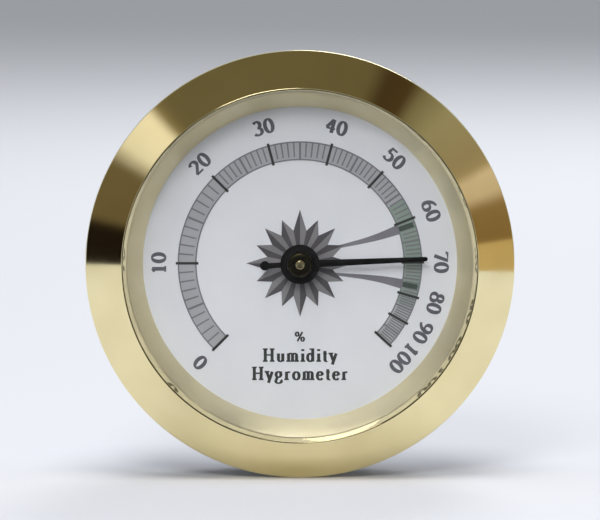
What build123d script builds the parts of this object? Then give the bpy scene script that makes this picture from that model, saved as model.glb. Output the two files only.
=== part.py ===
from build123d import *
from math import cos, radians, sin
import os

# Dial hygrometer that drops into a round hole in a panel, such as the front of a humidor.
#
# The dial's axis is Y. The face looks towards -Y, the movement lies behind it towards +Y, and +Z is
# up. The origin is on the axis, in the plane where the bezel's rear face meets the panel.
# Depths are y values in millimetres: negative in front of the panel, positive behind its face.

# ---- driving dimensions -------------------------------------------------------------------------

# bezel and window
bezel_r = 25.0
bezel_height = 3.6
rim_height = 1.0
crest_r = 20.75
crest_width = 0.15
window_r = 20.2
window_depth = 1.1  # from the crest down to the lens

# case, held in a 1-3/4 in (44.45 mm) panel hole
hole_r = 22.225
case_r = 22.0
case_inner_r = 20.2
case_rear = 12.2
socket_r = 21.25  # holds lens, gasket, sloping ring and dial
drop_in_play = 0.05
band_length = 5.0
band_edge = 0.2
band_front = 3.0
band_groove_r = 21.6

# lens, gasket, sloping ring and dial
lens_thickness = 1.0
gasket_thickness = 0.3
gasket_inner_r = 20.3
slope_outer_r = 20.15
dial_visible_r = 18.3
dial_front = 1.0
dial_thickness = 0.4
dial_hole_r = 1.5
key_r = 0.5
key_circle_r = 21.0

# movement frame: three arms, the first one straight up
arm_count = 3
first_arm = 90
plate_thickness = 0.8
plate_hub_r = 6.0
arm_width = 4.0
pillar_circle_r = 12.0
pillar_r = 1.3
pillar_tenon_r = 0.75
pillar_length = 6.4
bridge_hub_r = 3.4
bridge_arm_width = 3.4
boss_circle_r = 17.6
boss_r = 1.7
rib_width = 2.4

# screws
small_screw_r = 0.6
small_head_r = 1.4
bridge_screw_r = 0.5
bridge_head_r = 1.0
bridge_head_height = 0.6
cover_screw_r = 0.8
cover_head_r = 1.5
cover_head_height = 0.9
thread_length = 3.0
slot_width = 0.35
slot_depth = 0.3

# arbor, pointer and coil
arbor_r = 0.6
pivot_r = 0.3
running_clearance = 0.02
arbor_front = -1.25
pointer_angle = 87.6  # clockwise from the top of the dial, at 69 % relative humidity
pointer_front = -0.45
pointer_thickness = 0.25
pointer_hub_r = 2.3
pointer_tip_r = 14.9
pointer_width = 0.9
pointer_tip_width = 0.5
pointer_neck_width = 0.6
tail_r = 4.65
tail_disc_r = 0.55
boss_flange_r = 1.5
boss_sleeve_r = 0.9
boss_flange_height = 0.7
collet_r = 1.6
collet_front = 3.2
collet_rear = 7.1
collet_chamfer = 0.12
coil_front = 3.5
coil_width = 3.4
coil_first_r = 1.9
coil_step = 0.5  # the radius gained in each half turn
half_turns = 15  # an odd number, so that the strip ends on the arm's side
metal_thickness = 0.12
strip_clearance = 0.03  # between the strip's inner end and the collet it is cemented to
glue_line = 0.02
layer_thickness = 0.18
strip_tail = 2.8
rivet_r = 0.35
rivet_head_r = 0.65
rivet_head_height = 0.2

# calibration
arm_thickness = 0.6
arm_hub_r = 2.4
tab_thickness = 0.6
tab_gap = 0.4  # between the end of the layer and the riveting tab
stem_end_r = 1.2
stem_journal_r = 1.6
stem_head_r = 3.0
stem_head_height = 2.4
stem_slot_width = 0.8
stem_slot_depth = 1.0
washer_thickness = 0.22
washer_outer_r = 2.8

# back cover
cover_thickness = 1.0
cover_hole_r = 3.25
vent_width = 2.6

# ---- derived dimensions -------------------------------------------------------------------------

lens_front = window_depth - bezel_height
lens_rear = lens_front + lens_thickness
gasket_rear = lens_rear + gasket_thickness
case_front = gasket_rear + drop_in_play
drop_in_r = socket_r - drop_in_play
dial_rear = dial_front + dial_thickness
plate_rear = dial_rear + plate_thickness
bridge_front = plate_rear + pillar_length
bridge_rear = bridge_front + plate_thickness
cover_rear = case_rear - 0.2
cover_front = cover_rear - cover_thickness
band_rear = band_front + band_length + 2 * band_edge
pointer_rear = pointer_front + pointer_thickness
coil_rear = coil_front + coil_width
coil_end_r = coil_first_r + (half_turns - 1) * coil_step
strip_inner_x = collet_r + strip_clearance
layer_inner = metal_thickness / 2 + glue_line
layer_outer = layer_inner + layer_thickness
tab_inner_x = -coil_end_r - metal_thickness / 2
tab_outer_x = tab_inner_x - tab_thickness
rivet_z = -(tab_gap + strip_tail) / 2
rivet_y = (coil_front + coil_rear) / 2
arm_rear = bridge_front - 0.1
arm_front = arm_rear - arm_thickness
stem_front = arm_front - 0.4
stem_head_front = bridge_rear + 0.6
stem_rear = stem_head_front + stem_head_height

os.makedirs("parts", exist_ok=True)


def facing_front(y):
    """Plane across the axis at depth y. Its normal points to the front, x is +X and y is +Z."""
    return Plane.XZ.offset(-y)


def facing_rear(y):
    """Plane across the axis at depth y. Its normal points to the rear, x is -X and y is +Z."""
    return Plane(origin=(0, y, 0), x_dir=(-1, 0, 0), z_dir=(0, 1, 0))


# ---- case ---------------------------------------------------------------------------------------

with BuildPart() as bezel:
    with BuildSketch(Plane.XY):
        with BuildLine():
            Polyline(
                (case_r, 0),
                (bezel_r, 0),
                (bezel_r, -rim_height),
                (crest_r, -bezel_height),
                (crest_r - crest_width, -bezel_height),
                (window_r, lens_front),
                (socket_r, lens_front),
                (socket_r, gasket_rear),
                (case_r, gasket_rear),
                close=True,
            )
        make_face()
    revolve(axis=Axis.Y)
    circles = bezel.edges().filter_by(GeomType.CIRCLE)
    fillet(circles.group_by(SortBy.RADIUS)[-1].sort_by(Axis.Y)[0], radius=0.4)
    crest = bezel.edges().filter_by(GeomType.CIRCLE).group_by(Axis.Y)[0]
    fillet(crest, radius=crest_width / 3)

bezel.part.label = "bezel"
export_step(bezel.part, "parts/bezel.step")

with BuildPart() as lens:
    with BuildSketch(facing_front(lens_rear)):
        Circle(drop_in_r)
    extrude(amount=lens_thickness)
    chamfer(lens.edges().filter_by(GeomType.CIRCLE), length=0.1)

lens.part.label = "lens"
export_step(lens.part, "parts/lens.step")

with BuildPart() as lens_gasket:
    with BuildSketch(facing_front(gasket_rear)):
        Circle(drop_in_r)
        Circle(gasket_inner_r, mode=Mode.SUBTRACT)
    extrude(amount=gasket_thickness)

lens_gasket.part.label = "lens_gasket"
export_step(lens_gasket.part, "parts/lens_gasket.step")

with BuildPart() as sloping_ring:
    with BuildSketch(Plane.XY):
        with BuildLine():
            Polyline(
                (drop_in_r, gasket_rear),
                (slope_outer_r, gasket_rear),
                (dial_visible_r, dial_front),
                (drop_in_r, dial_front),
                close=True,
            )
        make_face()
    revolve(axis=Axis.Y)

sloping_ring.part.label = "sloping_ring"
export_step(sloping_ring.part, "parts/sloping_ring.step")

with BuildPart() as dial_plate:
    with BuildSketch(facing_front(dial_rear)):
        Circle(drop_in_r)
        Circle(dial_hole_r, mode=Mode.SUBTRACT)
        with Locations((0, -key_circle_r)):
            Circle(key_r + drop_in_play, mode=Mode.SUBTRACT)
    extrude(amount=dial_thickness)

dial_plate.part.label = "dial_plate"
export_step(dial_plate.part, "parts/dial_plate.step")

with BuildPart() as case_body:
    # the wall, with the dial's ledge inside it and the band's groove outside it
    with BuildSketch(Plane.XY):
        with BuildLine():
            Polyline(
                (socket_r, case_front),
                (case_r, case_front),
                (case_r, band_front),
                (band_groove_r, band_front),
                (band_groove_r, band_rear),
                (case_r, band_rear),
                (case_r, case_rear),
                (case_inner_r, case_rear),
                (case_inner_r, dial_rear),
                (socket_r, dial_rear),
                close=True,
            )
        make_face()
    revolve(axis=Axis.Y)
    outer_rear_edge = case_body.edges().filter_by(GeomType.CIRCLE).group_by(Axis.Y)[-1]
    chamfer(outer_rear_edge.sort_by(SortBy.RADIUS)[-1], length=0.5)
    # the key that stops the dial from turning
    with BuildSketch(facing_front(dial_rear)):
        with Locations((0, -key_circle_r)):
            Circle(key_r)
    extrude(amount=dial_thickness)
    # three bosses, each on a rib that runs into the wall
    with BuildSketch(facing_front(cover_front)):
        with PolarLocations(boss_circle_r, arm_count, start_angle=first_arm):
            Circle(boss_r)
        rib_length = case_inner_r + 0.5 - boss_circle_r
        with PolarLocations(boss_circle_r + rib_length / 2, arm_count, start_angle=first_arm):
            Rectangle(rib_length, rib_width)
    extrude(amount=cover_front - plate_rear)
    with Locations(facing_front(plate_rear)):
        with PolarLocations(boss_circle_r, arm_count, start_angle=first_arm):
            Hole(small_screw_r, depth=thread_length)
    with Locations(facing_rear(cover_front)):
        with PolarLocations(boss_circle_r, arm_count, start_angle=first_arm):
            Hole(cover_screw_r, depth=thread_length)

case_body.part.label = "case_body"
export_step(case_body.part, "parts/case_body.step")

with BuildPart() as friction_band:
    with BuildSketch(facing_front(band_rear)):
        Circle(hole_r)
        Circle(band_groove_r, mode=Mode.SUBTRACT)
    extrude(amount=band_rear - band_front)
    circles = friction_band.edges().filter_by(GeomType.CIRCLE)
    chamfer(circles.group_by(SortBy.RADIUS)[-1], length=band_edge)

friction_band.part.label = "friction_band"
export_step(friction_band.part, "parts/friction_band.step")

with BuildPart() as back_cover:
    with BuildSketch(facing_rear(cover_front)):
        Circle(case_inner_r - drop_in_play)
        Circle(cover_hole_r, mode=Mode.SUBTRACT)
        with PolarLocations(boss_circle_r, arm_count, start_angle=first_arm):
            Circle(cover_screw_r + drop_in_play, mode=Mode.SUBTRACT)
        for vent_r, vent_count, vent_span in ((7.4, 6, 34), (12.6, 9, 24)):
            for vent in range(vent_count):
                start = first_arm + vent * 360 / vent_count - vent_span / 2
                vent_line = CenterArc((0, 0), vent_r, start, vent_span)
                SlotArc(vent_line, vent_width, mode=Mode.SUBTRACT)
    extrude(amount=cover_thickness)

back_cover.part.label = "back_cover"
export_step(back_cover.part, "parts/back_cover.step")

with BuildPart() as back_cover_screws:
    with BuildSketch(facing_rear(cover_front - thread_length)):
        with PolarLocations(boss_circle_r, arm_count, start_angle=first_arm):
            Circle(cover_screw_r)
    extrude(amount=thread_length + cover_thickness)
    with BuildSketch(facing_rear(cover_rear)):
        with PolarLocations(boss_circle_r, arm_count, start_angle=first_arm):
            Circle(cover_head_r)
    extrude(amount=cover_head_height)
    head_edges = back_cover_screws.edges().filter_by(GeomType.CIRCLE).group_by(Axis.Y)[-1]
    fillet(head_edges, radius=0.35)
    with BuildSketch(facing_rear(cover_rear + cover_head_height)):
        with PolarLocations(boss_circle_r, arm_count, start_angle=first_arm):
            Rectangle(2 * cover_head_r, 2 * slot_width)
            Rectangle(slot_width, 2 * cover_head_r)
    extrude(amount=-slot_depth, mode=Mode.SUBTRACT)

back_cover_screws.part.label = "back_cover_screws"
export_step(back_cover_screws.part, "parts/back_cover_screws.step")

# ---- movement frame -----------------------------------------------------------------------------

with BuildPart() as movement_plate:
    with BuildSketch(facing_front(plate_rear)):
        Circle(plate_hub_r)
        with PolarLocations(boss_circle_r / 2, arm_count, start_angle=first_arm):
            Rectangle(boss_circle_r, arm_width)
        with PolarLocations(boss_circle_r, arm_count, start_angle=first_arm):
            Circle(arm_width / 2)
        Circle(dial_hole_r - 0.1, mode=Mode.SUBTRACT)
        with PolarLocations(pillar_circle_r, arm_count, start_angle=first_arm):
            Circle(pillar_tenon_r, mode=Mode.SUBTRACT)
    extrude(amount=plate_thickness)
    with Locations(facing_front(dial_rear)):
        with PolarLocations(boss_circle_r, arm_count, start_angle=first_arm):
            CounterSinkHole(small_screw_r, small_head_r, counter_sink_angle=90)

movement_plate.part.label = "movement_plate"
export_step(movement_plate.part, "parts/movement_plate.step")

with BuildPart() as movement_screws:
    with BuildSketch(facing_rear(dial_rear)):
        with PolarLocations(boss_circle_r, arm_count, start_angle=first_arm):
            Circle(small_head_r)
    extrude(amount=small_head_r - small_screw_r, taper=45)
    with BuildSketch(facing_rear(dial_rear)):
        with PolarLocations(boss_circle_r, arm_count, start_angle=first_arm):
            Circle(small_screw_r)
    extrude(amount=plate_thickness + thread_length)
    with BuildSketch(facing_rear(dial_rear)):
        with PolarLocations(boss_circle_r, arm_count, start_angle=first_arm):
            Rectangle(2 * small_head_r, slot_width)
    extrude(amount=slot_depth, mode=Mode.SUBTRACT)

movement_screws.part.label = "movement_screws"
export_step(movement_screws.part, "parts/movement_screws.step")

with BuildPart() as front_bush:
    with BuildSketch(facing_rear(dial_front)):
        Circle(dial_hole_r - 0.1)
    extrude(amount=plate_rear + 0.7 - dial_front)
    with BuildSketch(facing_rear(plate_rear)):
        Circle(pointer_hub_r)
    extrude(amount=0.4)
    with Locations(facing_front(dial_front)):
        Hole(arbor_r + running_clearance)

front_bush.part.label = "front_bush"
export_step(front_bush.part, "parts/front_bush.step")

with BuildPart() as bridge_pillars:
    with BuildSketch(facing_front(bridge_front)):
        with PolarLocations(pillar_circle_r, arm_count, start_angle=first_arm):
            Circle(pillar_r)
    extrude(amount=pillar_length)
    with BuildSketch(facing_front(plate_rear)):
        with PolarLocations(pillar_circle_r, arm_count, start_angle=first_arm):
            Circle(pillar_tenon_r)
    extrude(amount=plate_thickness)
    with Locations(facing_rear(bridge_front)):
        with PolarLocations(pillar_circle_r, arm_count, start_angle=first_arm):
            Hole(bridge_screw_r, depth=thread_length)

bridge_pillars.part.label = "bridge_pillars"
export_step(bridge_pillars.part, "parts/bridge_pillars.step")

with BuildPart() as rear_bridge:
    with BuildSketch(facing_rear(bridge_front)):
        Circle(bridge_hub_r)
        with PolarLocations(pillar_circle_r / 2, arm_count, start_angle=first_arm):
            Rectangle(pillar_circle_r, bridge_arm_width)
        with PolarLocations(pillar_circle_r, arm_count, start_angle=first_arm):
            Circle(bridge_arm_width / 2)
        Circle(stem_journal_r + running_clearance, mode=Mode.SUBTRACT)
        with PolarLocations(pillar_circle_r, arm_count, start_angle=first_arm):
            Circle(bridge_screw_r + drop_in_play, mode=Mode.SUBTRACT)
    extrude(amount=plate_thickness)

rear_bridge.part.label = "rear_bridge"
export_step(rear_bridge.part, "parts/rear_bridge.step")

with BuildPart() as bridge_screws:
    with BuildSketch(facing_rear(bridge_front - thread_length)):
        with PolarLocations(pillar_circle_r, arm_count, start_angle=first_arm):
            Circle(bridge_screw_r)
    extrude(amount=thread_length + plate_thickness)
    with BuildSketch(facing_rear(bridge_rear)):
        with PolarLocations(pillar_circle_r, arm_count, start_angle=first_arm):
            Circle(bridge_head_r)
    extrude(amount=bridge_head_height)
    with BuildSketch(facing_rear(bridge_rear + bridge_head_height)):
        with PolarLocations(pillar_circle_r, arm_count, start_angle=first_arm):
            Rectangle(2 * bridge_head_r, slot_width)
    extrude(amount=-slot_depth, mode=Mode.SUBTRACT)

bridge_screws.part.label = "bridge_screws"
export_step(bridge_screws.part, "parts/bridge_screws.step")

# ---- calibration --------------------------------------------------------------------------------

with BuildPart() as calibration_stem:
    with BuildSketch(Plane.XY):
        with BuildLine():
            Polyline(
                (0, stem_front),
                (stem_end_r, stem_front),
                (stem_end_r, arm_rear),
                (stem_journal_r, arm_rear),
                (stem_journal_r, stem_head_front),
                (stem_head_r, stem_head_front),
                (stem_head_r, stem_rear),
                (0, stem_rear),
                close=True,
            )
        make_face()
    revolve(axis=Axis.Y)
    head_edge = calibration_stem.edges().filter_by(GeomType.CIRCLE).group_by(Axis.Y)[-1]
    chamfer(head_edge, length=0.2)
    with BuildSketch(facing_rear(stem_rear)):
        Rectangle(2 * stem_head_r, stem_slot_width)
    extrude(amount=-stem_slot_depth, mode=Mode.SUBTRACT)
    with Locations(facing_front(stem_front)):
        Hole(pivot_r + running_clearance, depth=2.0)

calibration_stem.part.label = "calibration_stem"
export_step(calibration_stem.part, "parts/calibration_stem.step")

with BuildPart() as calibration_arm:
    # the flat arm, pressed on the stem
    with BuildSketch(facing_front(arm_rear)):
        with BuildLine():
            Polyline(
                (0, stem_journal_r),
                (tab_outer_x, -tab_gap),
                (tab_outer_x, -strip_tail),
                (0, -stem_journal_r),
                close=True,
            )
        make_face()
        Circle(arm_hub_r)
        Circle(stem_end_r, mode=Mode.SUBTRACT)
    extrude(amount=arm_thickness)
    # the tab at its end, bent forward beside the strip
    with BuildSketch(facing_front(arm_front)):
        with BuildLine():
            Polyline(
                (tab_inner_x, -tab_gap),
                (tab_outer_x, -tab_gap),
                (tab_outer_x, -strip_tail),
                (tab_inner_x, -strip_tail),
                close=True,
            )
        make_face()
    extrude(amount=arm_front - coil_front)
    with BuildSketch(Plane.YZ.offset(tab_outer_x)):
        with Locations((rivet_y, rivet_z)):
            Circle(rivet_r)
    extrude(amount=tab_thickness, mode=Mode.SUBTRACT)
    bend = calibration_arm.edges().filter_by(Axis.Z).group_by(Axis.X)[0].sort_by(Axis.Y)[-1]
    fillet(bend, radius=0.4)

calibration_arm.part.label = "calibration_arm"
export_step(calibration_arm.part, "parts/calibration_arm.step")

with BuildPart() as friction_washer:
    # a dished spring washer: its outer edge rests on the bridge, its inner edge on the stem's head
    with BuildSketch(Plane.XY):
        with BuildLine():
            Polyline(
                (washer_outer_r, bridge_rear + running_clearance),
                (washer_outer_r, bridge_rear + running_clearance + washer_thickness),
                (stem_journal_r + drop_in_play, stem_head_front),
                (stem_journal_r + drop_in_play, stem_head_front - washer_thickness),
                close=True,
            )
        make_face()
    revolve(axis=Axis.Y)

friction_washer.part.label = "friction_washer"
export_step(friction_washer.part, "parts/friction_washer.step")

# ---- arbor and pointer --------------------------------------------------------------------------

with BuildPart() as arbor:
    with BuildSketch(Plane.XY):
        with BuildLine():
            Polyline(
                (0, arbor_front),
                (arbor_r, arbor_front),
                (arbor_r, stem_front - 0.2),
                (pivot_r, stem_front - 0.2),
                (pivot_r, stem_front + 1.5),
                (0, stem_front + 1.5),
                close=True,
            )
        make_face()
    revolve(axis=Axis.Y)
    fillet(arbor.edges().filter_by(GeomType.CIRCLE).group_by(Axis.Y)[0], radius=0.25)

arbor.part.label = "arbor"
export_step(arbor.part, "parts/arbor.step")

with BuildPart() as pointer:
    # drawn along the local x axis of a plane turned to the rest angle
    along_pointer = (sin(radians(pointer_angle)), 0, cos(radians(pointer_angle)))
    with BuildSketch(Plane((0, pointer_rear, 0), x_dir=along_pointer, z_dir=(0, -1, 0))):
        with BuildLine():
            Polyline(
                (0, pointer_width / 2),
                (pointer_tip_r, pointer_tip_width / 2),
                (pointer_tip_r, -pointer_tip_width / 2),
                (0, -pointer_width / 2),
                (-tail_r, -pointer_neck_width / 2),
                (-tail_r, pointer_neck_width / 2),
                close=True,
            )
        make_face()
        Circle(pointer_hub_r)
        with Locations((-tail_r, 0)):
            Circle(tail_disc_r)
        Circle(boss_sleeve_r, mode=Mode.SUBTRACT)
    extrude(amount=pointer_thickness)

pointer.part.label = "pointer"
export_step(pointer.part, "parts/pointer.step")

with BuildPart() as pointer_boss:
    # flange in front of the pointer, sleeve through it
    with BuildSketch(Plane.XY):
        with BuildLine():
            Polyline(
                (arbor_r, pointer_front - boss_flange_height),
                (boss_flange_r, pointer_front - boss_flange_height),
                (boss_flange_r, pointer_front),
                (boss_sleeve_r, pointer_front),
                (boss_sleeve_r, pointer_rear + 0.5),
                (arbor_r, pointer_rear + 0.5),
                close=True,
            )
        make_face()
    revolve(axis=Axis.Y)
    front_edges = pointer_boss.edges().filter_by(GeomType.CIRCLE).group_by(Axis.Y)[0]
    fillet(front_edges.sort_by(SortBy.RADIUS)[-1], radius=0.45)

pointer_boss.part.label = "pointer_boss"
export_step(pointer_boss.part, "parts/pointer_boss.step")

with BuildPart() as coil_collet:
    with BuildSketch(facing_front(collet_rear)):
        Circle(collet_r)
        Circle(arbor_r, mode=Mode.SUBTRACT)
    extrude(amount=collet_rear - collet_front)
    outer_edges = coil_collet.edges().filter_by(GeomType.CIRCLE).sort_by(SortBy.RADIUS)[-2:]
    chamfer(outer_edges, length=collet_chamfer)

coil_collet.part.label = "coil_collet"
export_step(coil_collet.part, "parts/coil_collet.step")

# ---- humidity coil ------------------------------------------------------------------------------


def half_turn_arcs(offset, first):
    """Draw the coil's half turns at a distance outside its middle line, from half turn first on."""
    for half_turn in range(first, half_turns):
        radius = coil_first_r + half_turn * coil_step + offset
        on_right = half_turn % 2 == 1
        CenterArc((coil_step if on_right else 0, 0), radius, 180 if on_right else 0, 180)


with BuildPart() as coil_metal_strip:
    with BuildSketch(facing_front(coil_rear)):
        with BuildLine():
            half_turn_arcs(-metal_thickness / 2, 0)
            half_turn_arcs(metal_thickness / 2, 0)
            Polyline(
                (-coil_end_r + metal_thickness / 2, 0),
                (-coil_end_r + metal_thickness / 2, -strip_tail),
                (-coil_end_r - metal_thickness / 2, -strip_tail),
                (-coil_end_r - metal_thickness / 2, 0),
            )
            # the inner end, bent inward against the collet
            Polyline(
                (coil_first_r - metal_thickness / 2, 0),
                (strip_inner_x, 0),
                (strip_inner_x, -metal_thickness),
                (coil_first_r + metal_thickness / 2, -metal_thickness),
                (coil_first_r + metal_thickness / 2, 0),
            )
        make_face()
    extrude(amount=coil_width)
    with BuildSketch(Plane.YZ.offset(tab_inner_x)):
        with Locations((rivet_y, rivet_z)):
            Circle(rivet_r)
    extrude(amount=2 * metal_thickness, mode=Mode.SUBTRACT)

coil_metal_strip.part.label = "coil_metal_strip"
export_step(coil_metal_strip.part, "parts/coil_metal_strip.step")

with BuildPart() as coil_humidity_layer:
    # glued to the outside of the metal strip, from its second half turn on
    with BuildSketch(facing_front(coil_rear)):
        with BuildLine():
            half_turn_arcs(layer_inner, 1)
            half_turn_arcs(layer_outer, 1)
            layer_start_x = coil_step - coil_first_r - coil_step
            Line((layer_start_x - layer_inner, 0), (layer_start_x - layer_outer, 0))
            Line((-coil_end_r - layer_inner, 0), (-coil_end_r - layer_outer, 0))
        make_face()
    extrude(amount=coil_width)

coil_humidity_layer.part.label = "coil_humidity_layer"
export_step(coil_humidity_layer.part, "parts/coil_humidity_layer.step")

with BuildPart() as coil_rivet:
    with BuildSketch(Plane.YZ.offset(tab_outer_x)):
        with Locations((rivet_y, rivet_z)):
            Circle(rivet_r)
    extrude(amount=tab_thickness + metal_thickness)
    with BuildSketch(Plane.YZ.offset(tab_outer_x - rivet_head_height)):
        with Locations((rivet_y, rivet_z)):
            Circle(rivet_head_r)
    extrude(amount=rivet_head_height)
    with BuildSketch(Plane.YZ.offset(tab_inner_x + metal_thickness)):
        with Locations((rivet_y, rivet_z)):
            Circle(rivet_head_r)
    extrude(amount=rivet_head_height)

coil_rivet.part.label = "coil_rivet"
export_step(coil_rivet.part, "parts/coil_rivet.step")
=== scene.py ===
import math

import bmesh
import bpy
from mathutils import Matrix, Vector


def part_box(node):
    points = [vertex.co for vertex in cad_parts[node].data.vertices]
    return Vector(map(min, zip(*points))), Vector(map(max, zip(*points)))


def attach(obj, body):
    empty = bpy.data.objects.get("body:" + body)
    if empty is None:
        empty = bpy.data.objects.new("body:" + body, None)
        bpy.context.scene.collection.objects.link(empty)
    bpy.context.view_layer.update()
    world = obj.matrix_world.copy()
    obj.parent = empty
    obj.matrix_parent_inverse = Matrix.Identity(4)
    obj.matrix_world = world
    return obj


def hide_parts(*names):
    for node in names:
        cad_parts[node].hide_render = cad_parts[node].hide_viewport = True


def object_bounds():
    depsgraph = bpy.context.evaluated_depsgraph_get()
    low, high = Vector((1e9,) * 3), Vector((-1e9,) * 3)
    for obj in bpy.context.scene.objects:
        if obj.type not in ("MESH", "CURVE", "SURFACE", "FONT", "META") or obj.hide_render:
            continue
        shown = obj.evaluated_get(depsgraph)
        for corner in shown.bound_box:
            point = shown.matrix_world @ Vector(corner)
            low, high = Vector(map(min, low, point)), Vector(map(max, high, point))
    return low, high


# Dial hygrometer. The dial's axis is Y and its face looks towards -Y. Angles on the dial are compass
# angles: degrees clockwise from the top, as the viewer sees them. The dial's sizes are millimetres
# until they reach a mesh, which is in metres. The stage, light and camera are in metres throughout.

MM = 0.001
UM = 0.000001
TOUCHING = 0.000001  # millimetres: points nearer than this are one point

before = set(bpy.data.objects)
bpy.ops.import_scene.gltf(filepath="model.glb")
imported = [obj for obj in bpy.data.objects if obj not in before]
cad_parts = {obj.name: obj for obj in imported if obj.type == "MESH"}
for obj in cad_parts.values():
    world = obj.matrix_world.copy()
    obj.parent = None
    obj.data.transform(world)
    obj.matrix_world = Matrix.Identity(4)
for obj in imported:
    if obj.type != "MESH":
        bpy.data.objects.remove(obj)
cad_low, cad_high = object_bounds()


def low(name):
    """A node's lowest corner in millimetres."""
    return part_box(name)[0] / MM


def high(name):
    """A node's highest corner in millimetres."""
    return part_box(name)[1] / MM


# ---- sizes taken from the frame -----------------------------------------------------------------

bezel_r = high("bezel").x
bezel_front = low("bezel").y
lens_front = low("lens").y
lens_rear = high("lens").y
ring_front = low("sloping_ring").y
dial_front = low("dial_plate").y
drop_in_r = high("lens").x
case_r = high("case_body").x
pointer_front = low("pointer").y
pointer_rear = high("pointer").y
boss_front = low("pointer_boss").y
boss_r = high("pointer_boss").x
cover_rear = high("back_cover").y

# ---- meshes -------------------------------------------------------------------------------------

TURNS = 192  # steps round a turned piece


def on_dial(radius, angle, y):
    """The point, in millimetres, at a radius and a compass angle, at depth y."""
    a = math.radians(angle)
    return Vector((radius * math.sin(a), y, radius * math.cos(a)))


def joined_sections(bm, sections, ring=False):
    """Close a bar: walls between its neighbouring sections, and two ends unless it is a ring."""
    following = sections[1:] + sections[:1] if ring else sections[1:]
    for section, after in zip(sections, following):
        for k in range(len(section)):
            beside = (k + 1) % len(section)
            bm.faces.new((section[k], section[beside], after[beside], after[k]))
    if not ring:
        bm.faces.new(sections[0])
        bm.faces.new(sections[-1])


def object_from(name, bm):
    """An object in the scene, with a bmesh as its mesh."""
    mesh = bpy.data.meshes.new(name)
    bm.to_mesh(mesh)
    bm.free()
    made = bpy.data.objects.new(name, mesh)
    bpy.context.collection.objects.link(made)
    return made


def finished(name, bm, material, body, smooth_angle=None):
    """Turn a bmesh in millimetres into an object that rides on a body."""
    bmesh.ops.recalc_face_normals(bm, faces=bm.faces)
    bmesh.ops.scale(bm, vec=(MM, MM, MM), verts=bm.verts)
    piece = object_from(name, bm)
    mesh = piece.data
    mesh.materials.append(material)
    if smooth_angle is not None:
        mesh.shade_smooth()
        mesh.set_sharp_from_angle(angle=math.radians(smooth_angle))
    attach(piece, body)
    return piece


def rounded(corners, steps=6):
    """A closed outline: each corner (x, y, radius) becomes an arc that touches its two sides."""
    outline = []
    for i, (x, y, radius) in enumerate(corners):
        corner = Vector((x, y))
        before = (Vector(corners[i - 1][:2]) - corner).normalized()
        after = (Vector(corners[(i + 1) % len(corners)][:2]) - corner).normalized()
        if radius == 0:
            outline.append(corner)
            continue
        half = before.angle(after) / 2
        centre = corner + (before + after).normalized() * radius / math.sin(half)
        start = corner + before * radius / math.tan(half) - centre
        sweep = start.angle_signed(corner + after * radius / math.tan(half) - centre)
        for step in range(steps + 1):
            turn = Matrix.Rotation(-sweep * step / steps, 2)
            outline.append(centre + turn @ start)
    return outline


def revolved(outline, segments):
    """A bmesh of the outline, a list of (radius, y), turned about the dial's axis.

    The outline is closed, by its last side or by ends that both lie on the axis.
    """
    bm = bmesh.new()
    rings = []
    for radius, y in outline:
        count = 1 if radius < TOUCHING else segments
        rings.append([bm.verts.new(on_dial(radius, 360 * k / segments, y)) for k in range(count)])
    for ring, after in zip(rings, rings[1:] + rings[:1]):
        for k in range(segments):
            corners = [ring[j % len(ring)] for j in (k, k + 1)]
            corners += [after[j % len(after)] for j in (k + 1, k)]
            corners = list(dict.fromkeys(corners))
            if len(corners) > 2:
                bm.faces.new(corners)
    return bm


def turned(name, outline, material, body, smooth_angle=30):
    """A piece turned about the dial's axis from an outline of (radius, y)."""
    return finished(name, revolved(outline, TURNS), material, body, smooth_angle)


# ---- materials ----------------------------------------------------------------------------------


def new_material(name, colour, roughness, metallic=0.0):
    """A Principled material. Returns it with its node tree and its Principled node."""
    material = bpy.data.materials.new(name)
    material.use_nodes = True
    tree = material.node_tree
    shader = tree.nodes["Principled BSDF"]
    shader.inputs["Base Color"].default_value = (*colour, 1)
    shader.inputs["Roughness"].default_value = roughness
    shader.inputs["Metallic"].default_value = metallic
    return material, tree, shader


def node(tree, kind, **settings):
    """A new node, with its properties and, for names that aren't properties, its inputs set."""
    made = tree.nodes.new(kind)
    for key, value in settings.items():
        if hasattr(made, key):
            setattr(made, key, value)
        else:
            made.inputs[key.replace("_", " ")].default_value = value
    return made


def object_place(tree):
    """Object coordinates, in metres."""
    return node(tree, "ShaderNodeTexCoord").outputs["Object"]


def lathe_place(tree):
    """Coordinates for turning marks, in metres: distance from the axis, depth and a slow drift."""
    coordinates = object_place(tree)
    parts = node(tree, "ShaderNodeSeparateXYZ")
    across = node(tree, "ShaderNodeVectorMath", operation="MULTIPLY")
    across.inputs[1].default_value = (1, 0, 1)
    length = node(tree, "ShaderNodeVectorMath", operation="LENGTH")
    drift = node(tree, "ShaderNodeVectorMath", operation="DOT_PRODUCT")
    drift.inputs[1].default_value = (0.6, 0, 0.8)
    joined = node(tree, "ShaderNodeCombineXYZ")
    tree.links.new(coordinates, parts.inputs[0])
    tree.links.new(coordinates, across.inputs[0])
    tree.links.new(coordinates, drift.inputs[0])
    tree.links.new(across.outputs[0], length.inputs[0])
    tree.links.new(length.outputs["Value"], joined.inputs["X"])
    tree.links.new(parts.outputs["Y"], joined.inputs["Y"])
    tree.links.new(drift.outputs["Value"], joined.inputs["Z"])
    return joined.outputs[0]


def stretched_noise(tree, vector, stretch, detail):
    """Noise whose grain is the reciprocal of stretch along each axis of vector."""
    scaled = node(tree, "ShaderNodeVectorMath", operation="MULTIPLY")
    scaled.inputs[1].default_value = stretch
    noise = node(tree, "ShaderNodeTexNoise", Scale=1.0, Detail=detail)
    tree.links.new(vector, scaled.inputs[0])
    tree.links.new(scaled.outputs[0], noise.inputs["Vector"])
    return noise.outputs["Fac"]


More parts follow.
